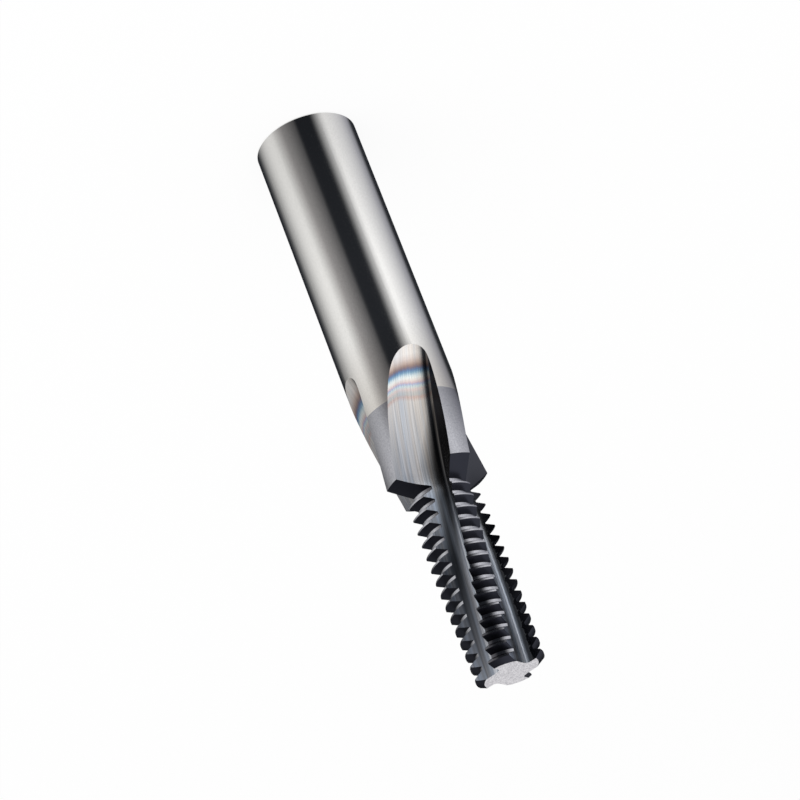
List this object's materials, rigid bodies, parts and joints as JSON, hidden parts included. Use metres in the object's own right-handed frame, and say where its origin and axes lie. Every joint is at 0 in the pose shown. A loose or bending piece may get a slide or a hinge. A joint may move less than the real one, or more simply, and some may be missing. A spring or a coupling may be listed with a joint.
{
  "type": "thread mill",
  "caption": "Solid carbide thread mill: plain round shank, helical flutes that run out into it, a countersink shoulder and ring teeth for milling internal threads.",
  "frame": {"origin": "centre of the shank end face, which it stands on", "axes": "+Z along the tool axis from the shank end to the cutting tip, -Y towards the side that the picture shows"},
  "size_m": [0.014, 0.014, 0.083],
  "materials": {
    "carbide": "bare ground carbide shank, dark PVD-coated flutes and teeth, bare ground end face"
  },
  "bodies": {
    "root": {"thread_mill": "carbide"}
  },
  "joints": []
}
